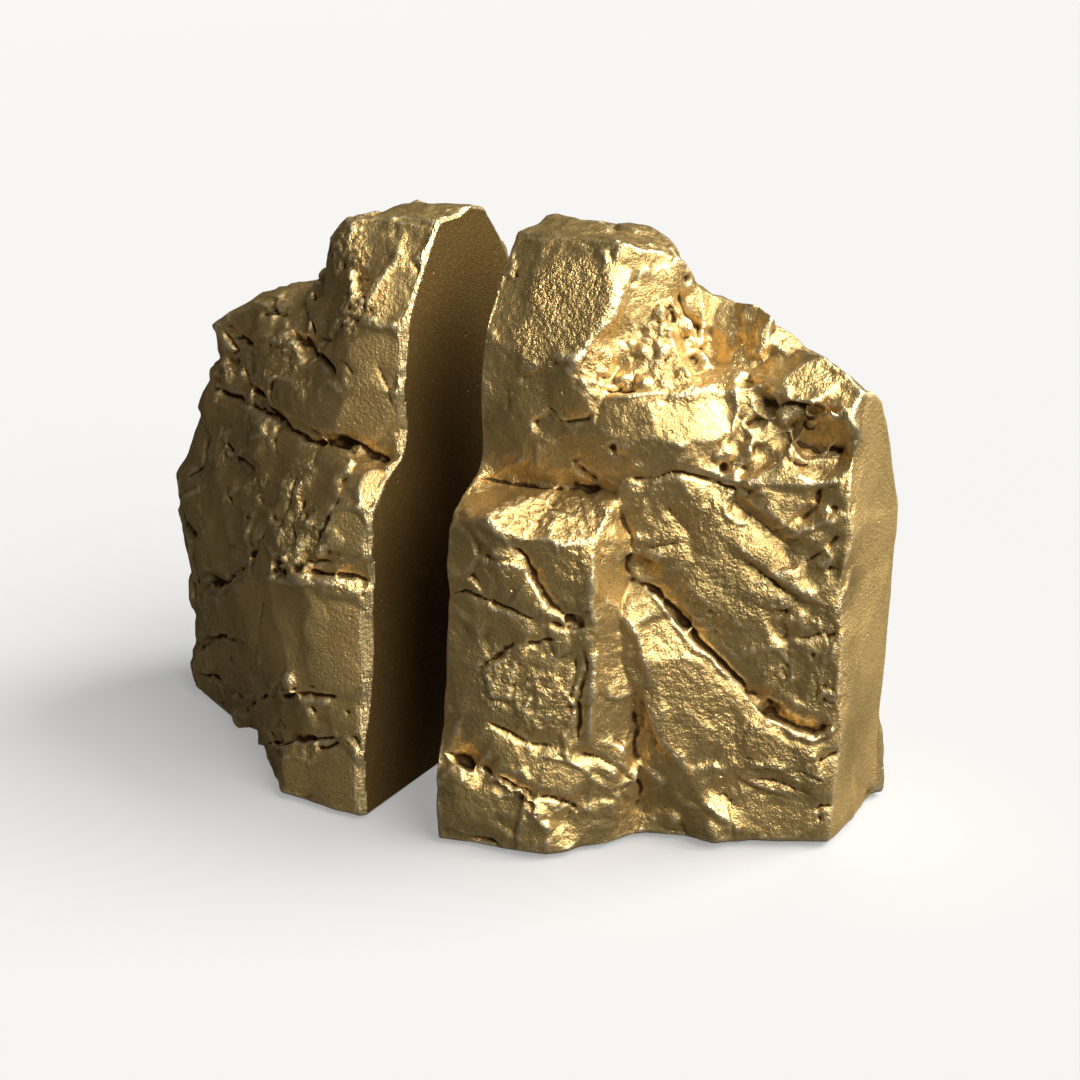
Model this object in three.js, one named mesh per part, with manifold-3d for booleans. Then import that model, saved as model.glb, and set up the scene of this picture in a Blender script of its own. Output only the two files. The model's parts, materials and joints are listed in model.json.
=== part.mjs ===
// A pair of cast book ends shaped like one boulder split in two.
// Each block is solid, has one smooth flat face for the books and stands on four round felt pads.
// Millimetres, +Z up. X runs across the gap, Y runs to the back, and the origin is the middle of
// the pair's footprint on the shelf.

import * as THREE from "three";
import { ConvexHull } from "three/addons/math/ConvexHull.js";
import { mergeVertices } from "three/addons/utils/BufferGeometryUtils.js";
import Module from "manifold-3d";

const wasm = await Module();
wasm.setup();

// Driving dimensions
const GAP = 25;               // free width between the two book faces
const GAP_CENTRE_X = 2.5;     // the left block is a little wider than the right one
const PROW_Y = -51.5;         // front foot of both book faces
const PAD_THICKNESS = 1.5;
const PAD_DIAMETER = 14;
const PAD_SEGMENTS = 32;
const LINE_STEP = 6;          // spacing of the points along a ridge or valley
const TRIM_ALLOWANCE = 6;     // how far a rough block reaches past its flat faces before trimming
const TRIM_BOX = 400;

// Every rock point is [across, back, up]: away from the block's own book face, back from its
// front foot, and up from the shelf.

// Outline of the book face, which both blocks share: up the front, over the top, down the back.
const BOOK_FACE = [
  [0, 0], [-1, 12], [0, 23], [4, 36], [5, 45], [6, 62], [8, 72], [7, 82], [9, 92], [15, 99],
  [24, 104], [26, 110], [25, 122], [26, 134], [28, 143], [37, 156], [46, 167], [56, 167],
  [62, 169], [70, 167], [78, 158], [88, 142], [97, 122], [101, 95], [103, 62], [102, 30], [100, 0],
];

// Outline of each block's foot on the shelf, from the front of the book face round to its back.
const RIGHT_FOOT = [
  [0, 0], [10, 3], [19, 4], [28, 6], [32, 7], [35, 10], [37, 15], [43, 21], [47, 29], [50, 32],
  [60, 36], [70, 36], [77, 43], [88, 48], [97, 53], [98, 70], [96, 86], [84, 97], [60, 102],
  [30, 104], [0, 100],
];
const LEFT_FOOT = [
  [0, 0], [9, -1], [20, 0], [28, 0], [39, 8], [51, 20], [62, 31], [70, 32], [77, 35], [89, 41],
  [100, 47], [102, 62], [98, 82], [82, 96], [56, 103], [28, 104], [0, 100],
];

// Ridges and valleys of the right block.
const RIGHT_LINES = [
  // lower column beside the book face, from the foot up
  [[1, -1, 12], [12, 1, 13], [25, 4, 13], [32, 7, 10]],
  [[2, -1, 24], [11, 1, 24], [21, 3, 20], [29, 5, 17], [35, 12, 12], [41, 18, 13]],
  [[2, 1, 30], [10, 3, 28], [19, 7, 23], [27, 10, 19], [37, 16, 17], [45, 22, 18]],
  [[3, 3, 41], [15, 4, 39], [26, 9, 36], [37, 15, 31], [46, 21, 26], [49, 26, 20]],
  [[6, 4, 49], [11, 5, 54], [17, 7, 58], [21, 8, 62], [32, 12, 66]],
  [[3, 8, 74], [13, 7, 76], [24, 9, 71], [28, 11, 69]],
  [[20, 7, 92], [25, 11, 83], [29, 12, 77], [34, 13, 71], [39, 15, 68]],
  [[40, 18, 93], [40, 17, 82], [40, 16, 68], [40, 16, 52], [40, 17, 32], [41, 18, 17]],
  [[40, 30, 101], [44, 30, 90], [44, 32, 77], [43, 27, 71], [43, 25, 59], [47, 28, 47],
    [48, 30, 28], [48, 32, 9]],
  [[3, 8, 95], [14, 6, 98], [21, 8, 93], [33, 13, 92], [40, 18, 93]],
  // ledge on top of the column, and the wall of the head above it
  [[1, 24, 104], [12, 28, 102], [23, 30, 102], [32, 32, 102], [39, 32, 102]],
  [[1, 26, 112], [13, 27, 108], [24, 29, 108], [33, 30, 109]],
  [[1, 28, 143], [6, 28, 141], [12, 28, 140], [19, 28, 137], [24, 27, 133]],
  // head: front edge of its top, the ridge of its pitted face and the slanted facet beside it
  [[1, 46, 167], [10, 45, 167], [27, 46, 167], [34, 47, 167], [36, 49, 165]],
  [[36, 49, 165], [33, 46, 158], [34, 42, 152], [32, 37, 148], [30, 32, 143], [28, 28, 139],
    [25, 27, 133]],
  [[39, 56, 164], [42, 56, 156], [41, 52, 148], [38, 46, 142], [35, 40, 135], [34, 34, 131]],
  // belly under the crumpled hollow
  [[34, 33, 129], [39, 33, 128], [46, 38, 130], [52, 42, 128], [60, 48, 129]],
  [[34, 29, 121], [49, 32, 120], [56, 35, 118], [62, 42, 120]],
  [[37, 30, 109], [50, 34, 108], [56, 36, 109], [64, 43, 107]],
  // rear chunk: its top ridge and its foot
  [[45, 70, 151], [54, 72, 149], [62, 71, 148], [67, 68, 147]],
  [[47, 60, 136], [54, 61, 134], [60, 63, 135], [66, 64, 134], [73, 66, 136]],
  // shoulder: brow, back wall of the hollow under it, and its floor
  [[62, 56, 132], [69, 53, 131], [77, 52, 130], [82, 52, 129], [89, 53, 128], [95, 56, 125]],
  [[66, 47, 118], [75, 51, 119], [82, 54, 120], [89, 55, 121]],
  [[64, 43, 107], [73, 45, 107], [87, 51, 108], [94, 54, 108], [97, 56, 112]],
  // front right corner
  [[97, 54, 108], [98, 53, 100], [99, 54, 93], [98, 52, 85], [96, 53, 77], [98, 52, 65],
    [98, 52, 45], [99, 54, 37], [98, 53, 19], [97, 53, 2]],
  // broad front face: long diagonal edge, its lower wedge, the lip and the crumpled band
  [[44, 32, 78], [52, 34, 75], [58, 37, 65], [65, 39, 58], [71, 42, 50], [76, 46, 45]],
  [[45, 27, 71], [50, 28, 58], [54, 30, 45], [56, 31, 35], [60, 33, 26], [67, 36, 14]],
  [[76, 46, 45], [79, 44, 41], [83, 46, 38], [92, 49, 35], [98, 53, 38]],
  [[73, 41, 28], [81, 44, 27], [88, 48, 25], [94, 50, 23]],
  [[83, 50, 98], [84, 48, 84], [88, 48, 85], [95, 52, 92]],
  // top edge of the smooth right side, and the back edge of that side
  [[95, 56, 125], [97, 60, 131], [98, 66, 130], [98, 73, 126], [98, 82, 110], [99, 88, 93],
    [98, 88, 45], [97, 86, 2]],
  // back
  [[84, 97, 2], [86, 98, 30], [82, 99, 60], [86, 95, 92], [80, 90, 118], [78, 80, 134]],
  [[60, 102, 2], [58, 103, 35], [62, 101, 70], [57, 97, 100], [60, 92, 124], [55, 82, 143]],
  [[30, 104, 2], [33, 101, 25], [28, 104, 55], [34, 102, 85], [28, 98, 118], [30, 88, 148],
    [20, 78, 163]],
];
const RIGHT_SPOTS = [
  [12, 60, 168], [25, 58, 167], [32, 70, 163], [44, 62, 160], [47, 66, 154],
  [50, 34, 96], [61, 39, 96], [73, 45, 96], [55, 35, 86], [69, 41, 78], [78, 45, 69],
  [84, 48, 65], [91, 50, 66], [84, 48, 49], [94, 52, 97], [74, 43, 20], [83, 47, 17],
  [69, 72, 140], [77, 68, 139], [85, 64, 138], [91, 63, 135], [86, 73, 133], [97, 70, 20], [99, 68, 60],
  [98, 70, 95], [12, 27, 124], [22, 28, 120], [60, 36, 5], [79, 43, 7],
];

// Ridges and valleys of the left block.
const LEFT_LINES = [
  // lower column beside the book face, from the foot up
  [[2, -1, 12], [14, -1, 11], [28, 0, 10], [39, 9, 8]],
  [[3, 0, 27], [10, 0, 26], [21, 1, 21], [34, 5, 19], [54, 22, 12]],
  [[3, 2, 31], [11, 2, 29], [22, 3, 26], [30, 5, 24], [44, 13, 21], [60, 27, 14]],
  [[3, 4, 42], [15, 1, 40], [25, 1, 36], [32, 3, 33], [47, 12, 26], [63, 26, 24]],
  [[3, 5, 55], [15, 1, 55], [29, 3, 53], [49, 14, 45], [67, 26, 36], [82, 36, 31], [97, 46, 31]],
  [[3, 7, 70], [10, 3, 71], [20, 1, 71], [32, 3, 69], [44, 10, 66], [58, 20, 58], [77, 32, 46],
    [93, 43, 38]],
  [[3, 9, 76], [10, 4, 77], [22, 4, 76], [35, 7, 74], [45, 12, 76], [60, 22, 66], [72, 29, 56],
    [87, 38, 47], [98, 46, 43]],
  [[6, 8, 94], [13, 6, 91], [12, 5, 84]],
  // ledge on top of the column, rising to the left
  [[6, 14, 101], [22, 16, 102], [37, 21, 103]],
  [[1, 24, 104], [6, 22, 104], [13, 20, 105], [25, 21, 107], [38, 24, 109], [54, 29, 111]],
  [[2, 26, 110], [9, 22, 110], [19, 20, 113], [26, 22, 116]],
  // head: knee, ridge of its front face and front edge of its top
  [[2, 28, 142], [10, 26, 141], [19, 25, 138], [25, 26, 130]],
  [[1, 46, 167], [9, 46, 167], [17, 43, 167], [25, 40, 167], [29, 40, 163], [32, 40, 158],
    [36, 39, 146]],
  // middle chunk and the shoulder behind it
  [[33, 32, 131], [46, 34, 130], [55, 34, 127], [51, 30, 120], [41, 28, 118], [31, 26, 121]],
  [[41, 42, 139], [52, 43, 138], [65, 44, 136], [75, 46, 132], [83, 48, 126]],
  [[58, 32, 112], [67, 39, 114], [79, 45, 117]],
  // lobes down the far side
  [[83, 48, 126], [79, 47, 119], [87, 48, 112], [91, 48, 105], [92, 47, 97], [97, 48, 90],
    [102, 48, 78], [103, 47, 68], [100, 46, 60], [98, 46, 45], [99, 46, 33], [98, 47, 20],
    [102, 48, 9], [100, 48, 2]],
  // back
  [[103, 62, 2], [104, 64, 30], [104, 62, 60], [103, 64, 88], [93, 64, 110], [82, 60, 129]],
  [[98, 82, 2], [99, 84, 30], [101, 82, 62], [95, 83, 92], [84, 80, 118]],
  [[82, 96, 2], [84, 97, 32], [80, 99, 64], [78, 95, 94], [68, 88, 122], [60, 78, 137]],
  [[56, 103, 2], [57, 104, 35], [52, 103, 66], [54, 99, 96], [46, 93, 126], [38, 82, 146]],
  [[28, 104, 2], [26, 103, 30], [30, 104, 62], [26, 102, 90], [27, 97, 120], [20, 86, 150]],
];
const LEFT_SPOTS = [
  [82, 38, 13], [72, 33, 9], [79, 35, 26], [95, 44, 21], [65, 29, 10],
  [16, 1, 63], [34, 5, 61], [53, 16, 54], [71, 28, 44],
  [26, 8, 80], [43, 16, 82], [36, 14, 89], [26, 14, 94], [35, 18, 98], [47, 22, 91], [57, 24, 82],
  [70, 30, 77], [81, 34, 64], [86, 40, 83], [70, 34, 90], [85, 44, 97], [71, 38, 103],
  [10, 22, 123], [4, 26, 126], [12, 32, 152], [20, 31, 150], [30, 36, 148], [45, 26, 109],
  [33, 24, 114], [68, 42, 122], [51, 54, 141], [64, 55, 140], [73, 57, 136], [41, 52, 150],
  [31, 52, 164], [23, 56, 167], [10, 62, 168], [20, 70, 166], [34, 66, 158], [45, 68, 145],
  [60, 68, 139], [74, 68, 133],
];

const RIGHT_CORE = [34, 55, 62];
const LEFT_CORE = [34, 55, 62];
const RIGHT_PADS = [[14, 20], [14, 86], [82, 62], [74, 85]];
const LEFT_PADS = [[14, 18], [14, 88], [86, 60], [72, 84]];

const goldPaint = { color: 0xb08d45, roughness: 0.42, metalness: 0.85 };
const darkFelt = { color: 0x2b2a28, roughness: 0.95, metalness: 0 };

// Points every LINE_STEP or closer along a line of corners.
function sampleLine(corners) {
  const points = [corners[0]];
  for (let i = 1; i < corners.length; i += 1) {
    const start = new THREE.Vector3(...corners[i - 1]);
    const end = new THREE.Vector3(...corners[i]);
    const steps = Math.ceil(start.distanceTo(end) / LINE_STEP);
    for (let s = 1; s <= steps; s += 1) {
      points.push(start.clone().lerp(end, s / steps).toArray());
    }
  }
  return points;
}

// Closed rough surface through all points, which can all be seen from the core: their directions
// from the core are joined by the triangles of a convex hull.
function starSurface(points, core) {
  const centre = new THREE.Vector3(...core);
  const directions = points.map((p) => new THREE.Vector3(...p).sub(centre).normalize());
  const place = new Map(directions.map((direction, index) => [direction, index]));
  const triangles = [];
  for (const face of new ConvexHull().setFromPoints(directions).faces) {
    let edge = face.edge;
    do {
      triangles.push(place.get(edge.head().point));
      edge = edge.next;
    } while (edge !== face.edge);
  }
  const geometry = new THREE.BufferGeometry();
  geometry.setAttribute("position", new THREE.Float32BufferAttribute(points.flat(), 3));
  geometry.setIndex(triangles);
  return geometry;
}

function toManifold(geometry) {
  const bare = geometry.clone();
  bare.deleteAttribute("normal");
  bare.deleteAttribute("uv");
  const merged = mergeVertices(bare);
  return new wasm.Manifold(new wasm.Mesh({
    numProp: 3,
    vertProperties: new Float32Array(merged.attributes.position.array),
    triVerts: new Uint32Array(merged.index.array),
  }));
}

function toGeometry(manifold) {
  const mesh = manifold.getMesh();
  const geometry = new THREE.BufferGeometry();
  geometry.setAttribute("position", new THREE.BufferAttribute(mesh.vertProperties, 3));
  geometry.setIndex(new THREE.BufferAttribute(mesh.triVerts, 1));
  return geometry;
}

// The quarter of space on the block's side of its book face and above its pads.
function trimBox() {
  const box = new THREE.BoxGeometry(TRIM_BOX, TRIM_BOX, TRIM_BOX);
  box.translate(TRIM_BOX / 2, 0, TRIM_BOX / 2 + PAD_THICKNESS);
  return toManifold(box);
}

// A block in its own coordinates: book face on the plane x = 0, front foot at y = 0.
function rockGeometry(lines, spots, foot, core) {
  const below = -TRIM_ALLOWANCE;
  const points = [...lines.flatMap(sampleLine), ...spots];
  for (const across of [below, 0]) {
    points.push(...sampleLine(BOOK_FACE.map(([back, up]) => [across, back, up])));
  }
  for (const up of [below, 0]) {
    points.push(...sampleLine(foot.map(([across, back]) => [across, back, up])));
  }
  points.push(...sampleLine([[below, foot[0][1], below], [below, foot.at(-1)[1], below]]));
  const unique = new Map(points.map((p) => [p.map((v) => v.toFixed(3)).join(), p]));
  return toGeometry(toManifold(starSurface([...unique.values()], core)).intersect(trimBox()));
}

// Mirrors a geometry across x = 0 and keeps its faces pointing out.
function mirrorAcross(geometry) {
  const mirrored = geometry.clone();
  const position = mirrored.attributes.position;
  for (let i = 0; i < position.count; i += 1) {
    position.setX(i, -position.getX(i));
  }
  mirrored.setIndex(Array.from(geometry.index.array).reverse());
  return mirrored;
}

function namedMesh(name, geometry, look) {
  const mesh = new THREE.Mesh(geometry, new THREE.MeshStandardMaterial(look));
  mesh.name = name;
  return mesh;
}

// One book end: its rock and its four pads, with side 1 for the right one and -1 for the left.
function bookEnd(name, side, rock, padPlaces) {
  const group = new THREE.Group();
  group.position.set(GAP_CENTRE_X + side * GAP / 2, PROW_Y, 0);
  group.add(namedMesh(`${name}_rock_block`, side > 0 ? rock : mirrorAcross(rock), goldPaint));
  padPlaces.forEach(([across, back], index) => {
    const pad = new THREE.CylinderGeometry(PAD_DIAMETER / 2, PAD_DIAMETER / 2, PAD_THICKNESS,
      PAD_SEGMENTS);
    pad.rotateX(Math.PI / 2);
    const mesh = namedMesh(`${name}_felt_pad_${index + 1}`, pad, darkFelt);
    mesh.position.set(side * across, back, PAD_THICKNESS / 2);
    group.add(mesh);
  });
  return group;
}

const bookEnds = new THREE.Group();
bookEnds.add(bookEnd("left", -1, rockGeometry(LEFT_LINES, LEFT_SPOTS, LEFT_FOOT, LEFT_CORE), LEFT_PADS));
bookEnds.add(bookEnd("right", 1, rockGeometry(RIGHT_LINES, RIGHT_SPOTS, RIGHT_FOOT, RIGHT_CORE),
  RIGHT_PADS));

export default bookEnds;
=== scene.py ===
"""Looks of a pair of book ends shaped like one boulder split in two, painted metallic gold."""
import json
import math

import bpy
import numpy as np
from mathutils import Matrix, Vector


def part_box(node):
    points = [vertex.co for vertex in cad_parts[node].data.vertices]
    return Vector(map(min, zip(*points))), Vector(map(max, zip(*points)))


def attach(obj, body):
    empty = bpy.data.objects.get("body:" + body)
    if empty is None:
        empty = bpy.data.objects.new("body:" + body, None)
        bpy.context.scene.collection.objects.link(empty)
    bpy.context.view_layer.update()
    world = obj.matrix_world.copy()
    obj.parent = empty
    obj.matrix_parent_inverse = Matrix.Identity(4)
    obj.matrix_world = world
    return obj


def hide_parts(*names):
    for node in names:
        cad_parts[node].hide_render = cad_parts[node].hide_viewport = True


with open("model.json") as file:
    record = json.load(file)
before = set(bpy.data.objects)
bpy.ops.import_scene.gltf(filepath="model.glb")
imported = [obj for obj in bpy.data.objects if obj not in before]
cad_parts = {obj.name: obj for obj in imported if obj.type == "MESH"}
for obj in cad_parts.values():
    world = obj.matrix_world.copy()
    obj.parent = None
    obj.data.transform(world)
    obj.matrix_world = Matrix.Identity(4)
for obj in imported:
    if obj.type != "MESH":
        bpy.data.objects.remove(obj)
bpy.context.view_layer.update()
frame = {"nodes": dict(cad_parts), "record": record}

MM = 0.001                     # metres in a millimetre

# The camera stands to the right of the pair and looks down a little. Angles are in degrees.
VIEW_TARGET = Vector((0.0243, -0.0092, 0.0799))
VIEW_AZIMUTH = 30
VIEW_ELEVATION = 20
VIEW_DISTANCE = 0.560
LENS = 65.5
SENSOR = 36.0

# The studio. Lengths are in metres.
WORLD_DARK = 0.09
WORLD_BRIGHT = 1.7
BRIGHT_AZIMUTH = 85
BRIGHT_ELEVATION = 40
FLOOR_GREY = 0.33
FLOOR_GLOW = 0.31              # light of the floor's own, which keeps it pale
FLOOR_RADIUS = 4.0             # of the flat middle
FLOOR_CURVE = 5.0              # radius of the curve up to the rim
FLOOR_RIM_ANGLE = 1.1          # radians of that curve
FLOOR_SIDES = 96

# The rocks, in millimetres.
PROW_TO_MOUNT = 50.0           # from the front foot of a book face back to its mount point
BASE_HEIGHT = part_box("right_rock_block")[0][2] / MM
VOXEL = 0.6
TRIANGLE_LIMIT = 195000        # for one rock
ON_FLAT = 0.1                  # points this near the book face or the base belong to it
HELD = 0.4                     # points this near a flat face stay where they are
FREE = 1.2                     # points this far from it move freely
BOX_GAP = 0.03                 # kept between a rock and the box of its CAD block
SEARCH = 15                    # how far from a place its point on the rock may be
ROUGHNESS_FADE = (50, 70)      # how far back the front's roughness gives way to that of the back
BACK_FADE = (55, 75)           # how far back small chips give way to large ones

HASH_PRIMES = (73856093, 19349663, 83492791)
HASH_SEED_PRIME = 2654435761
HASH_MIXERS = (1274126177, 2246822519)
LOW_32_BITS = 0xFFFFFFFF
LOW_24_BITS = 0xFFFFFF


# ---------------------------------------------------------------- noise

def hash_cells(cells, seed):
    """One value in 0..1 for each whole-number cell."""
    mixed = seed * HASH_SEED_PRIME
    for axis, prime in enumerate(HASH_PRIMES):
        mixed = mixed ^ (cells[:, axis].astype(np.int64) * prime)
    mixed = (mixed ^ (mixed >> 13)) * HASH_MIXERS[0] & LOW_32_BITS
    mixed = (mixed ^ (mixed >> 16)) * HASH_MIXERS[1] & LOW_32_BITS
    return ((mixed ^ (mixed >> 15)) & LOW_24_BITS) / float(LOW_24_BITS)


def value_noise(points, scale, seed):
    """Smooth noise from -1 to 1, with lumps about scale across."""
    p = points / scale
    cell = np.floor(p)
    f = p - cell
    f = f * f * (3 - 2 * f)
    total = np.zeros(len(points))
    for corner in np.ndindex(2, 2, 2):
        weight = np.prod(np.where(corner, f, 1 - f), axis=1)
        total += weight * hash_cells(cell + corner, seed)
    return total * 2 - 1


def fractal(points, scale, octaves, seed):
    """Noise with finer and weaker noise on it."""
    total = np.zeros(len(points))
    strength = 1.0
    for octave in range(octaves):
        total += strength * value_noise(points, scale / 2 ** octave, seed + octave)
        strength *= 0.5
    return total


def wander(points, scale, amount, seed):
    """The points, each shifted by smooth noise, so that drawn lines come out irregular."""
    return points + amount * np.stack([value_noise(points, scale, seed + k) for k in range(3)], axis=1)


def crumple(points, scale, seed):
    """Sharp winding crests from -1 to 1, as on crumpled foil, about scale apart."""
    bent = wander(points, scale * 1.3, 0.35 * scale, seed + 50)
    return 1 - 2 * np.abs(value_noise(bent, scale, seed))


def facet_noise(points, scale, tilt, seed):
    """Height of flat chips about scale across, each at its own level and tilted its own way."""
    level_share = 0.4
    p = points / scale
    cell = np.floor(p)
    best = np.full(len(points), np.inf)
    height = np.zeros(len(points))
    for offset in np.ndindex(3, 3, 3):
        near = cell + np.array(offset) - 1
        jitter = np.stack([hash_cells(near, seed + k) for k in range(3)], axis=1)
        away = p - (near + jitter)
        distance = (away ** 2).sum(axis=1)
        lean = np.stack([hash_cells(near, seed + 3 + k) for k in range(3)], axis=1) * 2 - 1
        level = (away * lean).sum(axis=1) + level_share * (hash_cells(near, seed + 6) * 2 - 1)
        closer = distance < best
        best = np.where(closer, distance, best)
        height = np.where(closer, level, height)
    return height * tilt * scale


def smooth_step(value, low, high):
    """0 at low and beyond it, 1 at high and beyond it, and a smooth rise between."""
    t = np.clip((value - low) / (high - low), 0, 1)
    return t * t * (3 - 2 * t)


def tapered(share, at_ends):
    """1 along the middle of a line, down to at_ends within its first and last fifth."""
    return np.clip(np.minimum(share, 1 - share) * 5 + at_ends, 0, 1)


# ---------------------------------------------------------------- rock

class Rock:
    """A dense copy of one CAD block, with its points in the block's own millimetres.

    Across runs away from the book face, back runs from its front foot, and up is up.
    """

    def __init__(self, name, node, side):
        mount = {m["name"]: m for m in frame["record"]["mounts"]}[node.split("_")[0] + "_book_face"]
        self.side = side
        self.origin = np.array([mount["pos_m"][0] / MM, mount["pos_m"][1] / MM - PROW_TO_MOUNT, 0.0])
        source = bpy.data.objects.new(name + "_source", frame["nodes"][node].data.copy())
        bpy.context.scene.collection.objects.link(source)
        remesh = source.modifiers.new("voxels", "REMESH")
        remesh.mode = "VOXEL"
        remesh.voxel_size = VOXEL * MM
        self.mesh = applied(source)
        self.mesh.name = name
        count = len(self.mesh.vertices)
        flat = np.zeros(count * 3)
        self.mesh.vertices.foreach_get("co", flat)
        self.points = (flat.reshape(-1, 3) / MM - self.origin) * [side, 1, 1]
        ends = np.zeros(len(self.mesh.edges) * 2, np.int64)
        self.mesh.edges.foreach_get("vertices", ends)
        self.edges = ends.reshape(-1, 2)
        self.links = np.bincount(self.edges.ravel(), minlength=count)
        self.on_face = smooth_step(self.points[:, 0], FREE, HELD)
        self.on_base = smooth_step(self.points[:, 2], BASE_HEIGHT + FREE, BASE_HEIGHT + HELD)
        self.normals = None
        self.pitted = np.zeros(count)
        self.wear_and_highlight = np.zeros(count)

    def spread(self, values):
        """Average of each point's neighbours."""
        a, b = self.edges[:, 0], self.edges[:, 1]
        total = np.zeros_like(values)
        for column in range(values.shape[1]):
            total[:, column] = (np.bincount(a, values[b, column], len(values))
                                + np.bincount(b, values[a, column], len(values)))
        return total / self.links[:, None]

    def softened(self, heights, rounds):
        """Heights averaged with those of the points around, to turn steps into slopes."""
        for _ in range(rounds):
            heights = self.spread(heights[:, None])[:, 0]
        return heights

    def smooth(self, rounds, amount=0.5):
        """Moves every point towards the average of its neighbours."""
        for _ in range(rounds):
            self.points += amount * (self.spread(self.points) - self.points)

    def update_normals(self, rounds=6):
        """Outward direction at each point, averaged over a few millimetres."""
        self.write_points()
        flat = np.zeros(len(self.points) * 3)
        self.mesh.vertices.foreach_get("normal", flat)
        normals = flat.reshape(-1, 3) * [self.side, 1, 1]
        for _ in range(rounds):
            normals = self.spread(normals)
        self.normals = normals / np.linalg.norm(normals, axis=1, keepdims=True)

    def write_points(self):
        """Puts the points into the mesh, in the frame's metres."""
        world = (self.points * [self.side, 1, 1] + self.origin) * MM
        self.mesh.vertices.foreach_set("co", world.astype(np.float32).ravel())
        self.mesh.update()

    def freedom(self, chosen):
        """0 on the flat book face and base, 1 away from them."""
        return ((1 - self.on_face) * (1 - self.on_base))[chosen]

    def push(self, heights, chosen=slice(None)):
        """Moves points outwards, but leaves the flat book face and base where they are."""
        self.points[chosen] += self.normals[chosen] * (heights * self.freedom(chosen))[:, None]

    def within(self, low, high, margin):
        """Indices of the points in a box grown by a margin."""
        inside = (self.points > np.min(low, axis=0) - margin) & (self.points < np.max(high, axis=0) + margin)
        return np.flatnonzero(inside.all(axis=1))

    def nearest(self, place):
        """The rock's own point nearest to a place, so that a feature lies on the surface."""
        chosen = self.within([place], [place], SEARCH)
        return chosen[((self.points[chosen] - place) ** 2).sum(axis=1).argmin()]

    def around(self, place, reach, unevenness, scale, seed):
        """The points near a place, and their distance from it, made uneven."""
        centre = self.points[self.nearest(np.array(place, float))]
        chosen = self.within([centre], [centre], reach)
        away = np.linalg.norm(self.points[chosen] - centre, axis=1)
        return chosen, away * (1 + unevenness * value_noise(self.points[chosen], scale, seed))

    def along_line(self, line, reach):
        """The points near a line of corners, with their distance from it, share along it and side."""
        shortest = 0.01
        corners = self.points[[self.nearest(np.array(c, float)) for c in line]]
        chosen = self.within(corners, corners, reach)
        p = wander(self.points[chosen], scale=7, amount=0.8, seed=61)
        p = wander(p, scale=2.2, amount=0.3, seed=64)
        lengths = np.linalg.norm(np.diff(corners, axis=0), axis=1)
        starts = np.concatenate([[0], np.cumsum(lengths)])
        best = np.full(len(p), np.inf)
        along = np.zeros(len(p))
        above = np.zeros(len(p))
        for i, length in enumerate(lengths):
            if length < shortest:
                continue
            direction = (corners[i + 1] - corners[i]) / length
            t = np.clip((p - corners[i]) @ direction, 0, length)
            offset = p - corners[i] - t[:, None] * direction
            distance = np.linalg.norm(offset, axis=1)
            sideways = np.cross(direction, self.normals[chosen].mean(axis=0))
            if sideways[2] < 0:
                sideways = -sideways
            closer = distance < best
            best = np.where(closer, distance, best)
            along = np.where(closer, starts[i] + t, along)
            above = np.where(closer, offset @ sideways, above)
        return chosen, best, along / starts[-1], above > 0

    def crack(self, line, width, depth):
        """A slit in a wider groove, where the rock below mostly stands out further than above."""
        slit_reach = 0.42 * width
        groove_reach = 0.6 * width + 3
        slit_share = min(0.55, 1.5 / width)
        step_height = 0.3 * depth
        chosen, distance, share, above = self.along_line(line, width * 1.5 + 9)
        taper = tapered(share, at_ends=0.35)
        vary = 1 + 0.25 * value_noise(self.points[chosen], scale=7, seed=71)
        slit = np.clip(1 - distance / np.maximum(slit_reach * taper * vary, 0.05), 0, 1) ** 0.7
        groove = np.clip(1 - distance / groove_reach, 0, 1) ** 1.4
        step = step_height * np.exp(-distance / 4) * np.where(above, -1, 1)
        step *= smooth_step(share, 0, 0.2) * smooth_step(share, 1, 0.8)
        step *= value_noise(self.points[chosen], scale=15, seed=75) + 0.4
        self.push(step - taper * depth * (slit_share * vary * slit + (1 - slit_share) * groove), chosen)

    def ridge(self, line, width, height):
        """A crest that falls away gently above and steeply below."""
        reach_above = 1.9
        reach_below = 0.7
        chosen, distance, share, above = self.along_line(line, width * 3)
        vary = 1 + 0.4 * value_noise(self.points[chosen], scale=5, seed=73)
        reach = width * vary * np.where(above, reach_above, reach_below)
        self.push(height * tapered(share, at_ends=0.2) * np.clip(1 - distance / reach, 0, 1) ** 1.3, chosen)

    def dent(self, place, radius, depth):
        """A round hollow, or a bump where depth is negative."""
        chosen, away = self.around(place, radius * 1.5, unevenness=0.45, scale=radius * 0.9, seed=23)
        bowl = np.clip(1 - (away / radius) ** 2, 0, 1)
        direction = self.normals[chosen].mean(axis=0)
        direction /= np.linalg.norm(direction)
        self.points[chosen] -= direction * (depth * bowl * self.freedom(chosen))[:, None]

    def flatten(self, place, radius):
        """Presses a patch towards its own average plane, as a cleaved facet."""
        strength = 0.85
        least_alike = 0.35
        fewest_points = 8
        start = self.nearest(np.array(place, float))
        centre = self.points[start]
        chosen = self.within([centre], [centre], radius * 1.3)
        chosen = chosen[self.normals[chosen] @ self.normals[start] > least_alike]
        p = self.points[chosen]
        away = np.linalg.norm(p - centre, axis=1) * (1 + 0.2 * value_noise(p, radius, seed=37))
        weight = smooth_step(away, radius * 1.15, radius * 0.8)
        if weight.sum() < fewest_points:
            return
        middle = (p * weight[:, None]).sum(axis=0) / weight.sum()
        offset = p - middle
        covariance = (offset * weight[:, None]).T @ offset
        plane = np.linalg.eigh(covariance)[1][:, 0]
        pressed = (offset @ plane) * weight * strength * self.freedom(chosen)
        self.points[chosen] -= plane * pressed[:, None]

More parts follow.
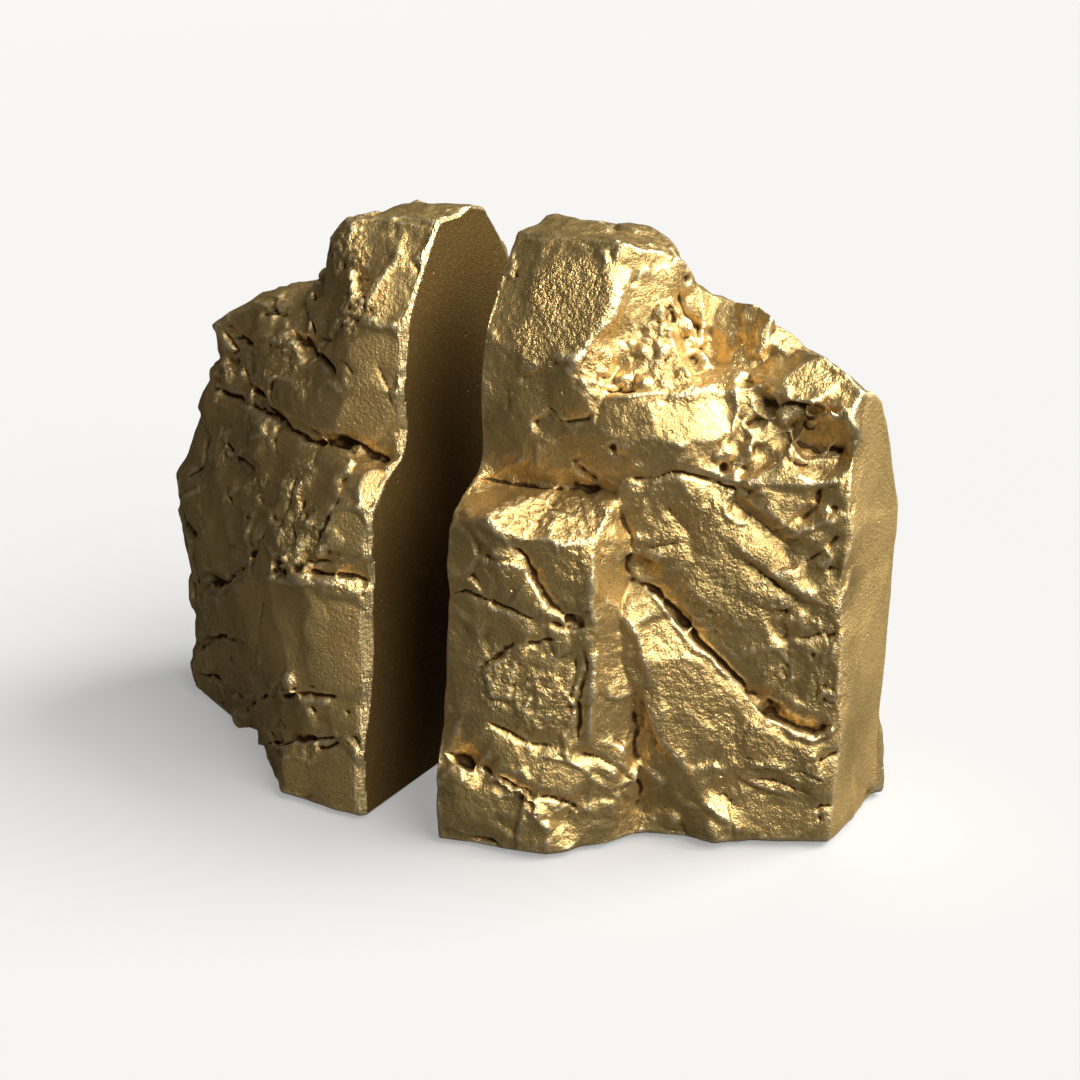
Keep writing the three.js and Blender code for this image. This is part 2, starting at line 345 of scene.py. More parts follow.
    def lumps(self, place, radius, height, scale):
        """A patch of small rounded lumps and pits."""
        chosen, away = self.around(place, radius * 1.2, unevenness=0.25, scale=radius, seed=41)
        weight = smooth_step(away, radius * 1.1, radius * 0.7)
        p = self.points[chosen]
        rough = 0.6 * crumple(p, scale, seed=53) + 0.5 * fractal(p, scale * 0.7, octaves=2, seed=57)
        self.pitted[chosen] = np.maximum(self.pitted[chosen], weight * min(height, 1))
        self.push(0.6 * height * weight * rough, chosen)

    def bevel_front(self, width):
        """Cuts back the corner between the book face and the rock's front and top."""
        level_height = 2.0
        face_depth = 1.0
        fade = 0.4
        near = self.points[:, 0] < face_depth
        levels = np.arange(0, 190, level_height)
        which = np.clip((self.points[near, 2] / level_height).astype(int), 0, len(levels) - 1)
        front = np.full(len(levels), np.inf)
        np.minimum.at(front, which, self.points[near, 1])
        known = np.isfinite(front)
        edge = np.interp(self.points[:, 2], levels[known] + level_height / 2, front[known])
        wobble = width * (1 + 0.2 * value_noise(self.points * [0, 1, 1], scale=9, seed=83))
        short = np.maximum(wobble - self.points[:, 0] - (self.points[:, 1] - edge), 0)
        # the cut strip, which the paint makes a little paler as edge wear and painted highlight
        self.wear_and_highlight = smooth_step(short, 0, fade)
        self.points[:, 0] += short / 2
        self.points[:, 1] += short / 2

    def keep_inside(self, node):
        """Holds every point inside the box of the CAD block."""
        low, high = (np.array(corner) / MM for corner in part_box(node))
        world = np.clip(self.points * [self.side, 1, 1] + self.origin, low + BOX_GAP, high - BOX_GAP)
        self.points = (world - self.origin) * [self.side, 1, 1]

    def hollowness(self, rounds):
        """How far each point lies under the average of the surface around it, in millimetres."""
        average = self.points
        for _ in range(rounds):
            average = self.spread(average)
        return ((average - self.points) * self.normals).sum(axis=1)

    def add_layer(self, name, values):
        """Stores one number for each point, for the paint to read."""
        layer = self.mesh.attributes.new(name, "FLOAT", "POINT")
        layer.data.foreach_set("value", values.astype(np.float32))

    def add_layers(self, calm):
        """Layers for the paint, each kept even on the flat faces."""
        flat = np.maximum(self.points[:, 0] < ON_FLAT, self.points[:, 2] < BASE_HEIGHT + ON_FLAT)
        # crevice and valley: depth of small and wide hollows, which the paint turns into painted shade, and
        # crevice also into painted highlights on crests
        self.add_layer("crevice", self.hollowness(3) * ~flat)
        self.add_layer("valley", self.hollowness(20) * ~flat)
        self.add_layer("sanded", np.maximum(flat, calm))
        self.add_layer("pitted", self.pitted * ~flat)
        self.add_layer("wear_and_highlight", self.wear_and_highlight * ~flat)
        # inner marks the book face, which the paint darkens as painted shade and gives less sand
        self.add_layer("inner", self.points[:, 0] < ON_FLAT)


def applied(holder):
    """The mesh of an object with its modifiers applied. The object itself is removed."""
    mesh = bpy.data.meshes.new_from_object(holder.evaluated_get(bpy.context.evaluated_depsgraph_get()))
    bpy.data.objects.remove(holder)
    return mesh


def decimated(mesh, limit):
    """The mesh with no more than limit triangles."""
    count = sum(len(p.vertices) - 2 for p in mesh.polygons)
    if count <= limit:
        return mesh
    holder = bpy.data.objects.new("holder", mesh)
    bpy.context.scene.collection.objects.link(holder)
    modifier = holder.modifiers.new("fewer", "DECIMATE")
    modifier.ratio = limit / count
    return applied(holder)


def shade(mesh):
    """Smooth shading, except on faces that lie square to the block."""
    facing = np.zeros(len(mesh.polygons) * 3)
    mesh.polygons.foreach_get("normal", facing)
    squareness = 0.9995
    square = np.abs(facing.reshape(-1, 3)).max(axis=1) > squareness
    mesh.polygons.foreach_set("use_smooth", (~square).tolist())


def add_piece(name, mesh, material, body, node):
    """Puts a finished mesh in the scene, on its body and in place of its CAD node."""
    mesh.materials.clear()
    mesh.materials.append(material)
    piece = bpy.data.objects.new(name, mesh)
    bpy.context.scene.collection.objects.link(piece)
    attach(piece, body)
    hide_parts(node)


def calmness(points, shape):
    """1 where the rock is smooth and sandy, 0 where it is rough."""
    calm = smooth_step(points[:, 0], shape["smooth_beyond"], shape["smooth_beyond"] + 2)
    for place, radius in shape["calm"]:
        away = np.linalg.norm(points - place, axis=1) * (1 + 0.3 * value_noise(points, scale=8, seed=91))
        calm = np.maximum(calm, smooth_step(away, radius * 1.1, radius * 0.85))
    return calm


def build_rock(name, node, side, body, material, shape):
    """One book end, from coarse relief to fine, cut in the order in which features overlap."""
    rock = Rock(name, node, side)
    rock.smooth(int(1.5 / VOXEL))
    rock.update_normals()
    p = rock.points
    calm = calmness(p, shape)
    front = shape["front_roughness"]
    rough = (1 - 0.85 * calm) * (front + (1 - front) * smooth_step(p[:, 1], *ROUGHNESS_FADE))
    hidden = smooth_step(p[:, 1], *BACK_FADE)
    rock.push(rough * (0.7 * crumple(p, scale=17, seed=11) + 0.25 * crumple(p, scale=6, seed=12)))
    small_chips = rock.softened(facet_noise(p, scale=12, tilt=0.11, seed=13), rounds=1)
    rock.push(rough * (1 - 0.7 * hidden) * small_chips)
    large_chips = rock.softened(facet_noise(p, scale=27, tilt=0.11, seed=14), rounds=5)
    rock.push(hidden * rough * large_chips)
    for patch in shape["lumps"]:
        rock.lumps(*patch)
    rock.update_normals()
    for facet in shape["facets"]:
        rock.flatten(*facet)
    rock.update_normals(3)
    for hollow in shape["dents"]:
        rock.dent(*hollow)
    rock.update_normals(3)
    for crest in shape["ridges"]:
        rock.ridge(*crest)
    for break_line in shape["cracks"]:
        rock.crack(*break_line)
    rock.push(rough * 0.12 * fractal(rock.points, scale=2.4, octaves=2, seed=5))
    rock.bevel_front(shape["bevel"])
    rock.smooth(1, 0.3)
    rock.keep_inside(node)
    rock.update_normals(1)
    rock.add_layers(calm)
    mesh = decimated(rock.mesh, TRIANGLE_LIMIT)
    shade(mesh)
    add_piece(name, mesh, material, body, node)


def build_pad(node, body, material):
    """A felt disc with a soft, slightly squashed rim, in place of one CAD pad."""
    around = 72
    low, high = (np.array(corner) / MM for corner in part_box(node))
    centre = (low + high) / 2
    half = (high - low) / 2
    # Rings from the middle of the underside, round the rim, to the middle of the top:
    # share of the radius, share of half the thickness.
    shares = [0, 0.15, 0.3, 0.45, 0.6, 0.75, 0.86, 0.93, 0.97]
    outline = [(s, -1.0) for s in shares] + [(0.992, -0.7), (1.0, -0.2), (1.0, 0.3), (0.992, 0.75)]
    outline += [(s, 1.0) for s in reversed(shares)]
    turn = np.arange(around) * 2 * np.pi / around
    rings = [np.stack([s * np.cos(turn), s * np.sin(turn), np.full(around, h)], axis=1) for s, h in outline]
    places = np.concatenate(rings)
    rim = np.linalg.norm(places[:, :2], axis=1)
    wave = 1 - 0.012 * (1 + value_noise(places * half + centre, scale=1.3, seed=31)) * rim
    sag = 1 - 0.10 * (1 + value_noise(places * half + centre, scale=1.1, seed=33)) - 0.12 * rim ** 6
    points = np.stack([places[:, 0] * wave, places[:, 1] * wave, places[:, 2] * sag], axis=1) * half + centre
    mesh = bpy.data.meshes.new(node + "_felt")
    mesh.from_pydata((points * MM).tolist(), [], ring_faces(len(outline), around))
    mesh.polygons.foreach_set("use_smooth", [True] * len(mesh.polygons))
    add_piece(node + "_felt", mesh, material, body, node)


def ring_faces(rings, around):
    """Quads between rings of points that follow each other."""
    return [(r * around + k, r * around + (k + 1) % around,
             (r + 1) * around + (k + 1) % around, (r + 1) * around + k)
            for r in range(rings - 1) for k in range(around)]


# ---------------------------------------------------------------- shapes of the two rocks
# Places are [across, back, up] in the block's own millimetres. Another program worked most of them
# out beforehand, from positions read by eye, so they are measurements and not driving dimensions.
# Cracks and ridges: corners, width, depth or height. Dents: middle, radius, depth.
# Facets: middle, radius. Lumps: middle, radius, height, size of a lump. Calm: middle, radius.

RIGHT_CRACKS = [
    # ledge under the head
    ([(1, 22, 103), (4, 24, 103), (13, 27, 102), (22, 28, 102), (30, 31, 102), (36, 32, 103)], 1.6, 3),
    # same ledge further right
    ([(40, 32, 105), (45, 32, 107), (50, 34, 107), (54, 35, 109), (57, 37, 109), (61, 40, 108),
      (64, 43, 107), (68, 43, 105), (69, 43, 102)], 2.2, 2),
    # notch where the ledge turns
    ([(26, 29, 110), (29, 30, 107), (33, 31, 104)], 3, 2),
    # head, broken corner
    ([(20, 28, 125), (22, 28, 123), (24, 28, 120), (28, 28, 121), (32, 29, 122), (34, 30, 125)], 2, 1.6),
    # slit in the crumpled hollow
    ([(34, 34, 130), (38, 35, 130), (42, 36, 130)], 2.6, 3),
    # folds of the hollow
    ([(42, 55, 150), (43, 56, 145)], 2, 1.8),
    ([(44, 59, 153), (45, 60, 147), (47, 62, 142), (49, 61, 138)], 3.6, 3),
    ([(54, 70, 147), (58, 71, 148), (62, 71, 148)], 1.2, 1),
    # shoulder
    ([(83, 62, 137), (88, 62, 135)], 1.4, 1),
    # hollow under the brow
    ([(78, 50, 121), (84, 52, 119), (90, 54, 116), (95, 56, 114)], 9, 5.5),
    ([(70, 48, 122), (75, 49, 124), (81, 51, 126), (87, 53, 126)], 6, 3.5),
    ([(72, 47, 116), (76, 48, 114), (80, 49, 113)], 5, 2.5),
    # hollow under the brow: floor
    ([(67, 45, 110), (77, 47, 112), (87, 51, 112), (92, 54, 111)], 1.8, 2),
    # broad face, left edge
    ([(41, 30, 101), (42, 30, 96), (44, 30, 91), (44, 31, 85), (44, 32, 79), (45, 32, 78)], 2.4, 1.8),
    ([(46, 31, 86), (49, 33, 88), (52, 34, 89), (56, 36, 89)], 1.3, 1),
    # notch in the slab
    ([(83, 49, 93), (86, 50, 97), (89, 51, 101), (90, 53, 106)], 3, 2.2),
    # fold below the slab
    ([(87, 48, 85), (91, 49, 88), (94, 52, 91), (96, 52, 94)], 2.2, 1.6),
    # above the corner block
    ([(84, 48, 64), (87, 49, 64), (91, 50, 65), (93, 51, 67)], 2.4, 1.4),
    # beside the corner block
    ([(85, 48, 65), (84, 48, 59), (84, 48, 54)], 1.2, 0.6),
    # corner band
    ([(92, 51, 71), (93, 51, 66), (93, 51, 58), (92, 50, 49), (91, 50, 43)], 1.4, 0.7),
    # long diagonal
    ([(44, 32, 78), (48, 33, 77), (51, 34, 76), (54, 35, 71), (58, 37, 66), (62, 38, 61), (65, 39, 58),
      (69, 41, 54), (73, 43, 50), (76, 46, 45)], 2.3, 3.4),
    # mouth
    ([(77, 45, 43), (81, 47, 41), (85, 47, 39), (89, 48, 37), (93, 50, 36), (96, 52, 38)], 4.6, 5),
    # crumpled band
    ([(73, 41, 29), (79, 43, 27), (84, 46, 25), (90, 49, 24), (93, 50, 22), (97, 52, 20)], 1.8, 1),
    ([(73, 42, 23), (79, 45, 21), (83, 47, 19), (88, 49, 18), (92, 50, 16)], 1.8, 1),
    ([(93, 51, 13), (95, 52, 8)], 1.6, 1.2),
    # seam beside the column
    ([(48, 28, 47), (48, 29, 39), (48, 30, 28), (48, 31, 17), (48, 31, 5)], 1.8, 1.6),
    ([(53, 30, 37), (53, 31, 27)], 1.2, 0.8),
    ([(70, 39, 17), (73, 40, 14)], 1.6, 1.2),
    # wide folds of the broad face
    ([(68, 42, 103), (76, 45, 95), (84, 48, 88)], 6, 2),
    ([(72, 43, 86), (80, 46, 78), (88, 49, 74)], 6, 1.8),
    ([(52, 34, 100), (58, 37, 92), (60, 38, 84)], 5, 1.4),
    # nicks along the right corner
    ([(93, 52, 101), (98, 56, 99)], 3, 2),
    ([(93, 51, 84), (98, 55, 82)], 3, 2.2),
    ([(93, 51, 64), (98, 55, 66)], 2.6, 1.8),
    ([(93, 50, 46), (98, 54, 44)], 3, 2),
    ([(94, 50, 28), (98, 54, 30)], 2.6, 1.8),
    ([(94, 50, 12), (98, 54, 13)], 2.6, 1.6),
    # star, upper left arm
    ([(20, 7, 92), (23, 9, 88), (25, 11, 83), (28, 12, 78), (31, 12, 74), (35, 13, 71),
      (38, 15, 69)], 3, 2.2),
    # star, left arm
    ([(1, 8, 74), (7, 8, 75), (13, 8, 74), (19, 8, 73), (24, 9, 71), (28, 11, 70), (34, 13, 69),
      (39, 15, 69)], 2.1, 1.7),
    # star, lower left arm
    ([(32, 12, 66), (27, 10, 64), (21, 8, 62), (17, 7, 59), (13, 6, 56), (10, 5, 53)], 2.5, 1.9),
    # grooves down the column
    ([(38, 15, 62), (39, 15, 57), (38, 15, 50), (37, 15, 44), (37, 15, 34)], 2.8, 2.2),
    ([(36, 14, 60), (36, 14, 54), (35, 14, 48), (35, 14, 44)], 1.7, 1.3),
    # double crack
    ([(13, 4, 40), (17, 5, 38), (21, 6, 37), (24, 8, 35), (28, 10, 34), (31, 12, 33)], 2.1, 1.7),
    ([(37, 15, 31), (42, 19, 29), (46, 21, 26), (49, 26, 21)], 3.4, 1.6),
    # deep crack over the foot
    ([(3, 1, 29), (6, 2, 28), (9, 2, 27), (13, 2, 25), (17, 3, 23), (21, 3, 22), (25, 4, 20),
      (29, 6, 19)], 3.6, 5),
    ([(29, 6, 19), (33, 9, 18), (36, 14, 15), (38, 15, 12)], 1.7, 1.5),
]
RIGHT_RIDGES = [
    # folds of the broad face
    ([(72, 44, 102), (80, 47, 97), (88, 50, 92), (93, 52, 90)], 4.5, 1.9),
    ([(68, 42, 90), (77, 46, 83), (86, 49, 77), (92, 51, 74)], 4.5, 1.8),
    ([(58, 37, 78), (66, 40, 72), (74, 44, 66)], 4, 1.3),
    # rough rim of the pitted face
    ([(33, 45, 159), (33, 42, 152), (33, 39, 149), (31, 35, 145), (30, 32, 142), (28, 28, 139),
      (26, 27, 135), (24, 27, 131)], 4, 1),
    # nick
    ([(17, 28, 107), (17, 28, 114)], 1.2, 0.7),
    ([(44, 32, 112), (46, 33, 110), (48, 33, 107)], 1.4, 0.7),
    # rim of a pocket in the crumpled hollow
    ([(38, 41, 136), (37, 43, 139), (39, 45, 140), (42, 46, 140), (45, 45, 137), (46, 43, 135)], 2, 1.2),
    # folds of the hollow
    ([(41, 52, 149), (43, 50, 144), (43, 47, 141)], 2.2, 1.2),
    ([(44, 57, 147), (45, 58, 143), (47, 60, 138), (49, 60, 135), (54, 58, 133)], 2.2, 1.4),
    # top of the belly
    ([(36, 33, 128), (41, 34, 128), (46, 37, 129), (51, 41, 128), (56, 45, 128), (61, 52, 130)], 2.4, 1),
    # chunk edges
    ([(57, 71, 148), (59, 68, 143)], 1.6, 0.8),
    ([(63, 67, 143), (65, 65, 138), (65, 64, 135)], 1.8, 1),
    # brow folds
    ([(61, 58, 133), (69, 56, 132), (74, 54, 131)], 1.8, 0.9),
    # brow
    ([(77, 52, 130), (82, 52, 129), (86, 53, 129), (87, 59, 128), (92, 58, 126), (95, 56, 124),
      (97, 58, 119), (97, 56, 114)], 2.4, 1.2),
    ([(64, 52, 131), (66, 49, 124), (66, 47, 120), (65, 45, 117)], 2, 1.4),
    # strut in the hollow
    ([(75, 51, 127), (78, 51, 123), (83, 50, 119), (85, 51, 115), (87, 51, 113)], 2.6, 2.6),
    ([(78, 52, 122), (81, 49, 117), (83, 50, 113)], 2, 1.8),
    ([(69, 49, 121), (72, 49, 117), (71, 47, 113)], 2.4, 1.6),
    # sill
    ([(61, 40, 110), (65, 43, 107), (73, 45, 107), (82, 49, 106), (90, 53, 107), (94, 54, 108),
      (97, 56, 112)], 2.4, 1),
    # broad face
    ([(70, 44, 107), (73, 45, 106), (77, 47, 104)], 1.8, 1),
    ([(67, 42, 101), (67, 42, 98), (70, 44, 95), (74, 45, 96)], 1.8, 0.9),
    ([(47, 33, 102), (47, 33, 95)], 1.6, 0.7),
    # slab
    ([(81, 48, 91), (87, 50, 94), (93, 52, 97), (96, 52, 99)], 3, 1.4),
    ([(91, 49, 84), (95, 51, 87)], 2.4, 1),
    # edge of the wedge
    ([(46, 32, 78), (51, 33, 74), (54, 35, 69), (58, 36, 63), (62, 37, 59), (66, 39, 56), (69, 41, 52),
      (73, 42, 47)], 2.2, 1.1),
    ([(73, 43, 56), (76, 44, 59), (80, 46, 61), (82, 47, 60), (85, 48, 56), (86, 48, 51),
      (85, 48, 47)], 1.6, 0.8),
    # lower lip
    ([(79, 44, 42), (83, 46, 38), (87, 47, 36), (92, 49, 34), (96, 52, 36), (98, 53, 39)], 2.4, 1.6),
    # upper lip
    ([(77, 46, 44), (82, 47, 44), (86, 48, 42), (88, 49, 40), (91, 50, 38)], 2.2, 1.2),
    # crumpled band
    ([(75, 42, 27), (81, 44, 26), (86, 47, 24)], 2, 1.2),
    ([(72, 41, 24), (77, 44, 21), (81, 46, 18), (87, 48, 15)], 2, 1.2),
    # wedge, left edge
    ([(43, 27, 71), (47, 27, 65), (49, 28, 59), (51, 28, 54), (52, 29, 51)], 3, 1.2),
    ([(48, 28, 50), (50, 29, 47), (52, 30, 43), (54, 30, 37), (56, 31, 32), (59, 33, 27),
      (61, 34, 25)], 3, 1.4),
    ([(42, 20, 48), (44, 24, 46), (47, 27, 47)], 2, 0.8),
    # wedge, foot
    ([(65, 35, 14), (68, 36, 13), (70, 38, 10), (72, 39, 7), (74, 40, 4)], 3, 1.5),
    # rough rib of the column
    ([(9, 7, 96), (12, 7, 92), (17, 7, 87), (18, 8, 80), (18, 8, 76)], 4, 1.1),
    ([(29, 10, 31), (34, 13, 30), (39, 16, 27), (40, 17, 24)], 1.5, 0.9),
    # right rib of the column
    ([(40, 18, 92), (40, 17, 81), (40, 16, 74), (40, 18, 67)], 2.4, 1),
    ([(41, 18, 62), (41, 17, 52), (40, 17, 42), (40, 17, 33)], 1.8, 0.8),
    ([(26, 4, 18), (27, 6, 14), (31, 7, 11), (33, 9, 7)], 2.4, 1.2),
]
RIGHT_DENTS = [
    # beads of the hollow
    ((41, 52, 148), 2.6, -1.6),
    ((43, 56, 148), 2, -1.2),
    ((40, 48, 144), 2.6, -1.6),
    ((44, 50, 143), 2.4, -1.4),
    ((45, 58, 143), 2.4, -1.2),
    ((40, 44, 139), 2.8, -1.6),
    ((45, 47, 139), 2.6, -1.6),
    ((46, 59, 138), 2.4, -1.4),
    ((50, 60, 135), 2.6, -1.4),
    ((38, 37, 132), 2.4, -1.2),
    ((43, 39, 132), 2.2, -1.2),
    ((48, 42, 132), 2.6, -1.2),
    ((52, 47, 134), 2.6, -1.4),
    ((52, 57, 133), 2.2, -1.2),
    # chunk, hollow facet
    ((53, 63, 137), 6, 3),
    # pin hole
    ((45, 62, 156), 1.4, 1.4),
    # brow, hollow facets
    ((66, 55, 132), 3, 2),
    ((73, 52, 128), 4, 3),
    # hollow under the brow
    ((89, 53, 117), 9, 2.6),
    ((82, 51, 121), 9, 2.2),
    # knob hole
    ((65, 44, 110), 1.8, 2.4),
    # broad face
    ((47, 33, 82), 4.5, 2),
    ((89, 49, 81), 4.5, 1.2),
    # star
    ((37, 14, 70), 2.6, 1.6),
    # foot hollow
    ((36, 12, 10), 6, 1.6),
    # chips
    ((39, 30, 115), 1.6, 1.2),
    ((4, 38, 157), 1.2, 1),
    ((91, 50, 59), 0.8, 0.8),
    # knob
    ((65, 45, 114), 3.6, -2),
    # bumps at the foot
    ((57, 35, 7), 3.4, -1.4),
    ((70, 37, 7), 4, -1),
    ((45, 23, 17), 2, -0.8),
]
RIGHT_FACETS = [
    ((22, 37, 152), 14), ((12, 32, 140), 10), ((42, 31, 123), 8), ((54, 40, 123), 7),
    ((34, 47, 163), 4), ((38, 49, 151), 7), ((2, 33, 149), 7), ((6, 27, 134), 6), ((5, 26, 116), 7),
    ((19, 28, 110), 6), ((35, 30, 114), 6), ((48, 33, 113), 6), ((61, 42, 121), 5), ((53, 67, 144), 5),
    ((63, 65, 140), 4), ((70, 71, 139), 5), ((84, 58, 134), 7), ((90, 54, 118), 6), ((80, 51, 124), 5),
    ((5, 8, 86), 5), ((27, 11, 89), 5), ((34, 14, 83), 6), ((41, 22, 82), 5), ((42, 23, 60), 5),
    ((42, 20, 41), 6), ((19, 8, 67), 7), ((8, 6, 59), 5), ((22, 6, 32), 6), ((34, 11, 25), 6),
    ((13, 2, 16), 7), ((54, 33, 62), 7), ((59, 34, 49), 8), ((59, 33, 37), 7), ((60, 38, 90), 8),
    ((73, 44, 88), 8), ((56, 37, 97), 5), ((65, 39, 78), 7), ((73, 43, 67), 7), ((88, 49, 56), 5),
    ((89, 50, 48), 4), ((81, 44, 32), 6), ((77, 43, 10), 6), ((88, 49, 9), 6), ((53, 33, 13), 4),
    ((87, 49, 89), 5),
]
RIGHT_LUMPS = [
    # pitted face
    ((22, 37, 152), 13, 1.2, 2.6),
    ((17, 30, 141), 9, 1.2, 2.6),
    ((32, 33, 136), 6, 1.2, 2.6),
    # hollow
    ((51, 46, 133), 9, 1, 4),
    ((42, 54, 145), 6, 0.9, 4),
    # top of the column
    ((18, 13, 98), 9, 0.8, 2.2),
    ((31, 23, 97), 10, 0.8, 2.2),
    ((35, 14, 87), 7, 0.6, 2.4),
    ((17, 7, 85), 6, 0.7, 2.6),
    # column, below the star
    ((19, 7, 51), 10, 0.7, 2.2),
    ((28, 11, 46), 10, 0.7, 2.2),
    # broad face
    ((61, 39, 93), 12, 0.5, 2.8),
    ((74, 43, 79), 14, 0.6, 2.8),
    ((62, 38, 74), 8, 0.6, 2.6),
    ((82, 47, 51), 5, 0.7, 2.4),
    # corner band
    ((95, 52, 70), 7, 0.6, 2.6),
    ((95, 51, 50), 8, 0.6, 2.6),
    ((88, 48, 24), 9, 0.6, 3),
    ((77, 43, 33), 8, 0.5, 2.6),
    # wedge
    ((59, 34, 43), 14, 0.35, 2.4),
    # shoulder
    ((82, 58, 134), 10, 0.45, 2.6),
]
LEFT_CRACKS = [
    # ledge crack under the head
    ([(26, 21, 107), (15, 20, 106), (5, 22, 104), (0, 27, 100), (0, 34, 97)], 2.6, 5),
    # its run to the left
    ([(44, 25, 107), (33, 21, 106), (21, 20, 106)], 2.6, 3.4),
    # gap under the small chunk
    ([(71, 42, 117), (61, 35, 113), (50, 28, 110), (41, 24, 107)], 4.2, 4.5),
    ([(89, 48, 108), (73, 40, 108), (53, 28, 110), (45, 26, 108)], 2.8, 3),
    # beside the shoulder lobe
    ([(76, 45, 125), (66, 41, 125), (59, 36, 122), (55, 32, 118)], 3, 3),
    ([(79, 47, 126), (73, 43, 121), (78, 44, 115)], 2.4, 2),
    # shoulder against the head
    ([(45, 36, 133), (35, 31, 129), (21, 23, 126)], 3.2, 3.2),
    ([(44, 45, 142), (39, 35, 137), (34, 33, 133)], 3, 2.4),
    ([(62, 42, 134), (56, 42, 136), (50, 40, 135)], 2.4, 2),
    # head
    ([(21, 24, 130), (17, 23, 129), (15, 23, 126)], 1.4, 1),
    ([(8, 24, 130), (4, 24, 123), (4, 24, 118)], 1.3, 0.9),
    # crumpled middle
    ([(45, 22, 95), (40, 18, 91), (39, 14, 85)], 2.2, 2),
    ([(32, 17, 97), (32, 14, 90), (33, 10, 81)], 2.2, 2),
    ([(11, 9, 95), (16, 6, 85), (18, 6, 80)], 2.4, 2.2),
    ([(25, 12, 91), (27, 9, 82), (25, 6, 78)], 1.8, 1.4),
    # left flank
    ([(75, 38, 94), (65, 31, 91), (52, 24, 92)], 2.4, 2.2),
    ([(87, 43, 92), (87, 41, 83), (94, 43, 76)], 2.4, 2),
    ([(71, 33, 84), (65, 28, 78), (50, 18, 78)], 2, 1.6),
    # diagonal crack
    ([(42, 11, 76), (55, 18, 62), (74, 30, 50), (91, 42, 41)], 3.6, 5),
    # its upper end
    ([(36, 12, 84), (40, 12, 79), (42, 11, 76)], 2, 1.6),
    # third crack
    ([(33, 5, 71), (17, 3, 73), (6, 6, 73), (2, 8, 72)], 2.2, 3.4),
    ([(30, 6, 75), (19, 4, 76), (11, 4, 77)], 1.5, 1.2),
    # seam beside the panel
    ([(36, 6, 66), (43, 10, 52), (48, 13, 37), (52, 16, 26)], 1.8, 1),
    # lobe
    ([(95, 44, 20), (73, 31, 32), (54, 18, 38)], 2.4, 2.2),
    ([(94, 44, 11), (84, 39, 11), (80, 37, 6)], 2.4, 2),
    ([(53, 17, 28), (61, 28, 12), (52, 21, 7)], 3.4, 3.2),
    ([(48, 17, 7), (40, 9, 3), (31, 2, 2)], 2, 1.4),
    # second crack
    ([(48, 15, 23), (24, 1, 35), (13, 2, 36), (7, 3, 37)], 2, 2.4),
    ([(41, 8, 30), (25, 1, 37), (15, 1, 39)], 1.4, 1.2),
    # bottom crack
    ([(44, 13, 9), (20, 1, 22), (4, 0, 26)], 2.2, 3.2),
    ([(40, 10, 9), (15, 0, 21), (6, 0, 25)], 1.8, 2),
    # panel hairlines
    ([(28, 3, 57), (22, 2, 51), (24, 2, 43)], 0.9, 0.4),
    ([(14, 2, 68), (11, 3, 59), (13, 2, 49)], 0.9, 0.4),
]
LEFT_RIDGES = [
    # column top ridge
    ([(4, 8, 93), (1, 13, 97), (0, 20, 99)], 2.4, 1),
    # edge of the light facet
    ([(13, 26, 141), (12, 30, 149), (9, 35, 155), (10, 41, 162)], 2, 0.8),
    # knee
    ([(13, 26, 141), (8, 26, 141), (3, 28, 141)], 2, 0.7),
    # shoulder lobe
    ([(31, 33, 136), (36, 35, 138), (43, 40, 136)], 2, 0.8),
    # shoulder front
    ([(70, 48, 135), (58, 42, 136), (49, 40, 136)], 2.4, 0.9),
    # middle chunk top
    ([(58, 37, 129), (48, 34, 129), (39, 32, 128)], 2.6, 0.8),
    # small chunk top
    ([(83, 47, 115), (71, 41, 115), (61, 35, 115)], 2, 0.8),
    ([(39, 19, 95), (31, 17, 99), (23, 15, 98)], 2.2, 0.7),
    ([(12, 6, 88), (16, 6, 82), (16, 4, 77)], 2, 0.8),
    ([(28, 11, 85), (24, 7, 81), (23, 4, 76)], 2, 0.8),
    # edge below the third crack
    ([(32, 3, 67), (21, 1, 70), (12, 3, 71), (7, 5, 70)], 1.6, 0.5),
    ([(41, 16, 86), (32, 11, 83), (30, 8, 78)], 2, 0.8),
    ([(71, 32, 9), (69, 31, 5), (68, 31, 2)], 2.4, 1),
]
LEFT_DENTS = [
    # recesses
    ((73, 42, 116), 4.5, 3),
    ((63, 38, 120), 4.5, 3),
    ((87, 39, 40), 3.2, 4.4),
    ((93, 41, 61), 4, 1.5),
    ((96, 45, 28), 4.5, 1.6),
    ((31, 5, 73), 3, 2.6),
    ((37, 32, 130), 4.5, 2),
    ((59, 27, 87), 5, 1.6),
    # lobes
    ((94, 44, 11), 9, -2.2),
    ((88, 39, 53), 8, -1.6),
    ((92, 43, 77), 7, -1.6),
    ((80, 47, 124), 5.5, -1.6),
    ((85, 45, 104), 6, -1.8),
    ((68, 31, 5), 4.5, -1.8),
    ((47, 38, 134), 6, -1),
    ((53, 26, 98), 6, -1.4),
    ((42, 28, 117), 9, -1),
    # beads of the crumpled middle
    ((28, 6, 76), 3, -1.2),
    ((22, 7, 79), 2.6, -1.2),
    ((15, 4, 79), 3, -1.2),
    ((33, 9, 79), 3, -1),
    ((11, 5, 83), 3, -0.9),
    ((21, 8, 87), 3.4, -1.2),
    ((31, 11, 85), 3, -1),
    # pin holes
    ((18, 2, 31), 0.9, 1.1),
    ((6, 2, 33), 0.8, 1),
    ((2, 6, 68), 0.8, 0.8),
]
